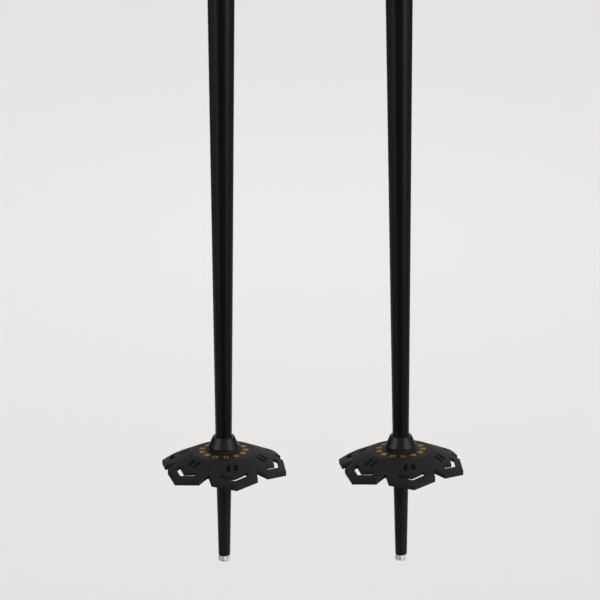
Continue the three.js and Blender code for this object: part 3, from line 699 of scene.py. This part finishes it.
# Levers
# Each is a moulded nylon cam lever. The cam turns on the barrel nut, and the arm wraps round the clamp's
# side to a thumb lip. Its angles run anticlockwise from the right.
arm_inner, arm_outer, thumb_reach, thumb_angle = 13.5, 16.8, 19.6, np.radians(61)
cam_centre, cam_radius, cam_start, shank_cut, pin_hole_radius = (15.7, -16.0), 5.6, 126.4, 160.2, 3.4
lever_bottom, gap_bottom, gap_top, lever_top, layer_overlap = 507, 514, 518, 525, 0.1
outer_start, outer_end, inner_start, inner_end, past_outer, past_inner = -15, 42, 58, -34, 6, 4
thumb_corners = np.concatenate([
    arc_points(arm_outer, outer_start, outer_end + past_outer, 2),
    [(thumb_reach * np.cos(thumb_angle), thumb_reach * np.sin(thumb_angle))],
    arc_points(arm_inner, inner_start + past_inner, inner_start + past_inner / 2, 2),
])
thumb = filleted(thumb_corners, [0, 4, 0.8, 0.8, 0])[9:-2]
arm = np.concatenate([
    arc_points(arm_outer, outer_start, outer_end, 48),
    thumb,
    arc_points(arm_inner, inner_start, inner_end, 72),
])
cam = arc_points(cam_radius, cam_start, 360, 64, cam_centre)
whole = np.concatenate([arm, cam])
beside_shank = arc_points(cam_radius, cam_start, shank_cut, 12, cam_centre)
cut_for_shank = [(10.43, -14.1), (20.4, -14.1)]
short = np.concatenate([arm, beside_shank, cut_for_shank])
pin_hole = circle(pin_hole_radius, 48, clockwise=True) + [nut_right, screw_back]
layers = [
    slab([whole, pin_hole], lever_bottom, gap_bottom + layer_overlap, (0.9, 0.2)),
    slab([short], gap_bottom, gap_top, 0),
    slab([whole, pin_hole], gap_top - layer_overlap, lever_top, (0.2, 0.9)),
]
on_both_poles("cam_lever", joined(*layers), nylon, "lever", "clamp_lever")


# Foam sleeves
# Each is a moulded foam tube on the upper tube below the grip, for a lower hold on slopes, with three
# grooves.
sleeve_bottom, sleeve_top, sleeve_bore, sleeve_radius = 932.7, 1049.7, 9.3, 13.2
sleeve_groove, groove_half, groove_rounding, end_rounding, bore_rounding = 12.3, 1.6, 0.8, 2.2, 0.3
corners = [(sleeve_bore, sleeve_bottom), (sleeve_radius, sleeve_bottom)]
radii = [bore_rounding, end_rounding]
for level in np.linspace(sleeve_bottom, sleeve_top, 5)[1:-1]:
    corners += [(sleeve_radius, level - groove_half), (sleeve_groove, level)]
    corners += [(sleeve_radius, level + groove_half)]
    radii += [groove_rounding] * 3
corners += [(sleeve_radius, sleeve_top), (sleeve_bore, sleeve_top)]
radii += [end_rounding, bore_rounding]
profile = filleted(corners, radii, closed=True)

# Closed-cell foam: dull charcoal with a skin of cells about 0.5 mm across, and tones that vary over 17 mm
foam, shader = new_finish(
    "closed_cell_foam", "#1c1c1c", Roughness=0.92, Specular_IOR_Level=0.3, Sheen_Weight=0.1
)
place = add_node(foam, "TexCoord")
cells = add_node(foam, "TexVoronoi", {"Vector": place.outputs["Object"], "Scale": 2000.0})
cloud = add_node(foam, "TexNoise", {"Vector": place.outputs["Object"], "Scale": 60.0, "Detail": 4.0})
add_node(
    foam, "ValToRGB", {"Fac": cloud.outputs["Fac"]},
    stops=((0.35, "#181818"), (0.7, "#212121")), into=shader.inputs["Base Color"],
)
add_node(
    foam, "Bump", {"Height": cells.outputs["Distance"], "Distance": 0.0001, "Strength": 0.6},
    into=shader.inputs["Normal"],
)

sleeve_shape = revolved(profile, loop=True)
for sleeve in on_both_poles("foam_sleeve", sleeve_shape, foam, "upper", "grip_sleeve"):
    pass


# Grips
# Each is moulded foam round the tube's end, with swells for the fingers, and a slot behind the thumb for the
# strap and its wedge.
def smooth_through(at, values, where):
    """A curve through the values: a cubic on each span, whose slope at a value is that of the line through
    the values on its two sides."""
    slope = np.gradient(values, at, axis=0)
    span = np.clip(np.searchsorted(at, where, side="right") - 1, 0, len(at) - 2)
    width = (at[span + 1] - at[span])[:, None]
    share = (where - at[span])[:, None] / width
    start, end = values[span], values[span + 1]
    lift = slope[span] * width * share * (1 - share) ** 2 - slope[span + 1] * width * share**2 * (1 - share)
    return start + (end - start) * share**2 * (3 - 2 * share) + lift


def oval(levels, half_width, front, back, columns=96):
    """Ovals, one a level: half width x cosine across, and front or back reach x sine along."""
    angle = np.linspace(0, 2 * np.pi, columns, endpoint=False)
    along = np.sin(angle) * np.where(np.sin(angle) > 0, back[:, None], front[:, None])
    across = half_width[:, None] * np.cos(angle)
    return np.stack([across, along, np.broadcast_to(levels[:, None], across.shape)], -1)


def drawn_in(ring, shares):
    """Copies of a ring at its own level, drawn in to each share of its reach."""
    return np.stack([ring * [share, share, 1] for share in shares])


def block(across, along, upward):
    """A block between two places in each direction, as points and six faces."""
    corners = np.array([(x, y, z) for z in upward for y in along for x in across], float)
    faces = np.array([(0, 2, 3, 1), (4, 5, 7, 6), (0, 1, 5, 4), (2, 6, 7, 3), (0, 4, 6, 2), (1, 3, 7, 5)])
    return corners, [faces]


grip_bottom, grip_top, half_width, front, back = 1050.0, 1190.0, 15.5, 22.0, 15.5
grip_bore, bore_top = 9.3, 1150.3
grip_shares = np.array([
    (0, 0.9, 0.63, 0.9), (0.025, 0.98, 0.7, 0.98), (0.06, 0.97, 0.69, 0.97), (0.11, 0.84, 0.61, 0.84),
    (0.2, 0.86, 0.63, 0.88), (0.3, 0.92, 0.7, 0.94), (0.39, 0.89, 0.64, 0.97), (0.48, 0.9, 0.7, 0.98),
    (0.58, 0.88, 0.64, 0.97), (0.68, 0.9, 0.7, 0.95), (0.78, 0.92, 0.78, 0.94), (0.87, 0.97, 0.92, 0.97),
    (0.94, 1, 1, 1), (1, 0.96, 0.96, 0.96),
])
where = np.linspace(0, 1, 141)
reach = smooth_through(grip_shares[:, 0], grip_shares[:, 1:] * [half_width, front, back], where)
body = oval(grip_bottom + where * (grip_top - grip_bottom), *reach.T)
bore = np.stack([
    np.column_stack([share * circle(grip_bore, 96), np.full(96, level)])
    for share, level in ((0, bore_top), (1, bore_top), (1, grip_bottom))
])
body = np.concatenate([bore, body, drawn_in(body[-1], (0.98, 0.9, 0.5, 0))])
slot_half_width, slot_front, slot_back, slot_bottom, past_grip = 8, 1.3, 17, 1157.5, 1192
slot_across, slot_along = (-slot_half_width, slot_half_width), (slot_front, slot_back)
pin_back, pin_level, grip_pin_hole, past_sides = 6.0, 1168.0, 2.1, 20
grip_cutters = [
    block(slot_across, slot_along, (slot_bottom, past_grip)),
    across_rod(grip_pin_hole, -past_sides, past_sides, pin_back, pin_level),
]
grip_shape = (body.reshape(-1, 3), [quads(*body.shape[:2])])
for grip in on_both_poles("foam_grip", grip_shape, foam, "upper", "grip", cutters=grip_cutters):
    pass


# Grip caps
# Each is a nylon cap over the grip's top, flat in the middle for the palm and notched at the back.
cap_bottom, cap_height, cap_inset, cap_half_width, cap_front = 1190.3, 9.7, 3.6, 14.88, 21.12
notch_bottom, past_cap = 1188.5, 1204
cap_shares = np.array([(0, 0.12), (0.03, 0), (0.45, 0), (0.62, 0.08), (0.8, 0.35), (0.93, 0.7), (1, 1)])
levels, inset = cap_bottom + cap_height * cap_shares[:, 0], cap_inset * cap_shares[:, 1]
dome = oval(levels, cap_half_width - inset, cap_front - inset, cap_half_width - inset)
dome = np.concatenate([drawn_in(dome[0], (0, 0.9)), dome, drawn_in(dome[-1], (0.97, 0.6, 0))])
cap_shape = (dome.reshape(-1, 3), [quads(*dome.shape[:2])])
notch = block(slot_across, slot_along, (notch_bottom, past_cap))
on_both_poles("palm_cap", cap_shape, nylon, "upper", "grip_cap", cutters=[notch])


# Strap pins
# Each is a steel pin across the grip, with its ends set back in the foam, that the strap turns on.
pin_radius, pin_half_length = 1.8, 13.5
pin_shape = across_rod(pin_radius, -pin_half_length, pin_half_length, pin_back, pin_level, edge=0.4)
on_both_poles("cross_pin", pin_shape, dark_steel, "upper", "strap_pin")


# Strap wedges
# Each is a nylon wedge that is pushed down behind the strap, which locks the loop's length. Its top lies
# level with the cap.
wedge_front, wedge_back, wedge_bevel, wedge_half_width = 1.6, 12, 1.8, 7.7
wedge_foot, wedge_heel, wedge_top = 1173, 1177.6, 1199.7
wedge_side = filleted(
    [
        (wedge_front, wedge_foot), (wedge_back, wedge_heel), (wedge_back, wedge_top - wedge_bevel),
        (wedge_back - wedge_bevel, wedge_top), (wedge_front, wedge_top),
    ],
    [0.4, 0.6, 0.8, 0.8, 0.4],
    closed=True,
)
wedge_shape = laid_across(slab([wedge_side], -wedge_half_width, wedge_half_width, 0.5))
on_both_poles("strap_lock", wedge_shape, nylon, "wedge", "strap_wedge")


# Straps
# Each is a loop of woven nylon webbing that goes round the pin, leaves the slot doubled and stitched, and
# hangs behind the grip for the wrist.
webbing_width, webbing_thickness, webbing_rounding = 15.0, 1.8, 0.6
eye_radius, hang_radius, hang_back, hang_bottom = 3.05, 8.7, 26.75, 1044
straight_bottom, near_top, far_top = 1046, 1148, 1122
near_side, far_side = hang_back - hang_radius, hang_back + hang_radius
eye = arc_points(eye_radius, 67, 223, 14, (pin_back, pin_level))
bottom = arc_points(hang_radius, 0, -180, 24, (hang_back, hang_bottom))
far = np.column_stack([np.full(24, far_side), np.linspace(far_top, straight_bottom, 24)])
near = np.column_stack([np.full(32, near_side), np.linspace(straight_bottom, near_top, 32)])
out_of_slot = [(9.5, 1163.7), (16.4, 1159.3), (17.9, 1155.5)]
back_to_slot = [(34.6, 1135), (31.0, 1147), (25.2, 1155), (17.6, 1161.3), (11, 1167.6)]
knots = np.concatenate([eye, out_of_slot, near[::-1], bottom[::-1], far[::-1], back_to_slot])
way = np.concatenate([[0], np.cumsum(np.linalg.norm(np.diff(knots, axis=0), axis=1))])
count = 640
closing = way[-1] + np.linalg.norm(knots[0] - knots[-1])
loop_way = np.concatenate([way - closing, way, way + closing])
centre = smooth_through(loop_way, np.tile(knots, (3, 1)), np.linspace(0, closing, count, endpoint=False))
forward = np.roll(centre, -1, 0) - np.roll(centre, 1, 0)
forward /= np.linalg.norm(forward, axis=1)[:, None]
outward = np.column_stack([forward[:, 1], -forward[:, 0]])
section_corners = np.array([(-1, -1), (1, -1), (1, 1), (-1, 1)]) * [webbing_width / 2, webbing_thickness / 2]
section = filleted(section_corners, webbing_rounding, closed=True, steps=4)
across = np.broadcast_to(section[:, 0], (count, len(section)))
rise = section[:, 1]
strap = np.stack([
    across, centre[:, :1] + outward[:, :1] * rise, centre[:, 1:] + outward[:, 1:] * rise,
], -1)

# Woven nylon webbing: slanted twill ribs 1.2 mm apart, with a fuzz that catches light at the edges
webbing, shader = new_finish(
    "woven_webbing", "#1e1e1f", Roughness=0.85, Specular_IOR_Level=0.3, Sheen_Weight=0.25
)
place = add_node(webbing, "UVMap")
ribs = add_node(
    webbing, "TexWave", {"Vector": place.outputs["UV"], "Scale": 0.37}, bands_direction="DIAGONAL"
)
add_node(
    webbing, "ValToRGB", {"Fac": ribs.outputs["Fac"]},
    stops=((0.0, "#141415"), (1.0, "#29292b")), into=shader.inputs["Base Color"],
)
add_node(
    webbing, "Bump", {"Height": ribs.outputs["Fac"], "Distance": 0.0003, "Strength": 0.7},
    into=shader.inputs["Normal"],
)

strap_shape = (strap.reshape(-1, 3), [quads(count, len(section), True)])
for band in on_both_poles("webbing_loop", strap_shape, webbing, "strap", "strap", sharp=60):
    places = np.zeros(len(band.data.vertices) * 3)
    band.data.vertices.foreach_get("co", places)
    corner = np.zeros(len(band.data.loops), int)
    band.data.loops.foreach_get("vertex_index", corner)
    along = corner // len(section) * closing / count
    sideways = places.reshape(-1, 3)[corner, 0] * metre
    uv = band.data.uv_layers.new(name="webbing")
    uv.data.foreach_set("uv", np.column_stack([along, sideways]).ravel())


# Camera
# A long lens that looks down by 19 degrees, as the photograph does, with the least rolling of the frame.
view_down, roll, distance = np.radians(19.0), 0.0050, 14.0
frame_pixels, aim_pixel, pixels_a_metre = 600, (312.25, 449.0), 1682.5
sensor_width, clip_end = 36, 2000
onward = Vector((0, np.cos(view_down), -np.sin(view_down)))
level_up = Vector((0, np.sin(view_down), np.cos(view_down)))
right = Vector((1, 0, 0)) * np.cos(roll) - level_up * np.sin(roll)
up = Vector((1, 0, 0)) * np.sin(roll) + level_up * np.cos(roll)
lens = bpy.data.cameras.new("long_lens")
lens.lens = sensor_width * distance * pixels_a_metre / frame_pixels
lens.sensor_width, lens.clip_end = sensor_width, clip_end
camera = bpy.data.objects.new("camera", lens)
bpy.context.scene.collection.objects.link(camera)
between_discs = Vector((0, 0, disc_level / metre))
aim_right = (aim_pixel[0] - frame_pixels / 2) / pixels_a_metre
aim_up = (frame_pixels / 2 - aim_pixel[1]) / pixels_a_metre
camera.location = between_discs - onward * distance - right * aim_right - up * aim_up
camera.rotation_euler = Matrix((right, up, -onward)).transposed().to_euler()
bpy.context.scene.camera = camera


# Studio
# A pale paper floor far below the hanging poles, an even sky of the same paper, one broad soft lamp from the
# right and the front, a tall soft lamp at each side, and dark cards that only mirror in the glossy pieces.
def stand(name, corners, finish):
    """A four-cornered sheet of the stage."""
    mesh = bpy.data.meshes.new(name)
    mesh.from_pydata(corners, [], [(0, 1, 2, 3)])
    mesh.materials.append(finish)
    sheet = bpy.data.objects.new(name, mesh)
    bpy.context.scene.collection.objects.link(sheet)
    return sheet


def level_sheet(half_width, near, far, level):
    """The corners of a level sheet, from a place in front to one behind."""
    return [
        (-half_width, near, level), (half_width, near, level),
        (half_width, far, level), (-half_width, far, level),
    ]


# White paper with a painted pool of light: its colour is lighter towards the middle of what the camera sees
# of it, 1.9 m behind the poles
floor_level, floor_reach, pool_back, pool_radius = -0.45, 60, 1.92, 2.0
paper, shader = new_finish("pale_paper_painted_light", "#f2f1ef", Roughness=1.0, Specular_IOR_Level=0.0)
place = add_node(paper, "TexCoord")
pool_place = (0.0, -pool_back / pool_radius, -floor_level / pool_radius)
middle = add_node(
    paper, "Mapping",
    {"Vector": place.outputs["Object"], "Location": pool_place, "Scale": (1 / pool_radius,) * 3},
)
# Painted light: the paper's colour grows lighter towards the pool's middle, as if a lamp fell there
pool = add_node(paper, "TexGradient", {"Vector": middle.outputs["Vector"]}, gradient_type="SPHERICAL")
add_node(
    paper, "ValToRGB", {"Fac": pool.outputs["Fac"]},
    stops=((0.6, "#eceae8"), (1.0, "#f8f6f5")), into=shader.inputs["Base Color"],
)
stand("floor", level_sheet(floor_reach, -floor_reach, floor_reach, floor_level), paper)

# Matte black and grey cloth on the cards, which turns the mirrored studio dark or dim
black_flag, _ = new_finish("black_flag", "#020202", Roughness=1.0, Specular_IOR_Level=0.0)
grey_flag, _ = new_finish("grey_flag", "#666666", Roughness=1.0, Specular_IOR_Level=0.0)
card_foot, card_head = -0.44, 1.6
cards = {
    "floor_card": (level_sheet(1.6, -1.4, 0.45, card_foot), black_flag),
    "top_card": (level_sheet(1.5, -1.4, 0.8, card_head), black_flag),
}
for name, start, end, flag in (
    ("front_card", (-1.0, -1.3), (1.0, -1.3), black_flag),
    ("left_card", (-1.5, 0.6), (-1.5, -0.9), grey_flag),
    ("right_card", (1.5, -0.9), (1.5, 0.6), grey_flag),
    ("back_left_card", (-0.75, 1.3), (-1.5, 0.6), black_flag),
    ("back_right_card", (1.5, 0.6), (0.75, 1.3), black_flag),
):
    cards[name] = [(*start, card_foot), (*end, card_foot), (*end, card_head), (*start, card_head)], flag
for name, (corners, flag) in cards.items():
    card = stand(name, corners, flag)
    card.visible_camera = card.visible_diffuse = card.visible_shadow = card.visible_transmission = False

# The sky is paper to the camera and in mirrored or clear pieces, and a plain dim grey as a light
sky = bpy.data.worlds.new("studio")
bpy.context.scene.world = sky
sky.use_nodes = True
air = sky.node_tree.nodes["Background"]
air.inputs["Strength"].default_value = 1.0
path = add_node(sky, "LightPath")
by_gloss = add_node(
    sky, "Math", {0: path.outputs["Is Glossy Ray"], 1: path.outputs["Is Transmission Ray"]}, operation="ADD"
)
seen = add_node(
    sky, "Math", {0: path.outputs["Is Camera Ray"], 1: by_gloss.outputs[0]}, operation="ADD", use_clamp=True
)
factor, first_colour, second_colour = 0, 6, 7
dim_grey = (0.27, 0.27, 0.27, 1)
tint = add_node(
    sky, "Mix", {factor: seen.outputs[0], first_colour: dim_grey, second_colour: linear("#ebeae8")},
    data_type="RGBA",
)
sky.node_tree.links.new(tint.outputs[2], air.inputs["Color"])

broad_from, broad_energy, broad_angle = (0.78, -0.45, 0.42), 4.6, 60
broad = bpy.data.lights.new("broad_lamp", "SUN")
broad.energy, broad.angle = broad_energy, np.radians(broad_angle)
lamp = bpy.data.objects.new("broad_lamp", broad)
bpy.context.scene.collection.objects.link(lamp)
lamp.rotation_euler = Vector(broad_from).to_track_quat("Z", "Y").to_euler()
lamp.visible_glossy = False

lamp_distance, lamp_width = 1.1, 0.5
for name, azimuth, foot, head, energy in (
    ("left_lamp", -60, 0.35, 1.5, 3.7),
    ("right_lamp", 60, 0.1, 0.7, 1.66),
):
    tall = bpy.data.lights.new(name, "AREA")
    tall.shape, tall.size, tall.size_y, tall.energy = "RECTANGLE", lamp_width, head - foot, energy
    lamp = bpy.data.objects.new(name, tall)
    bpy.context.scene.collection.objects.link(lamp)
    across, along = from_front(lamp_distance, azimuth)
    lamp.location = (across, along, (foot + head) / 2)
    lamp.rotation_euler = Vector((across, along, 0)).to_track_quat("Z", "Y").to_euler()
    lamp.visible_camera = False

bpy.context.scene.view_settings.view_transform = "Standard"
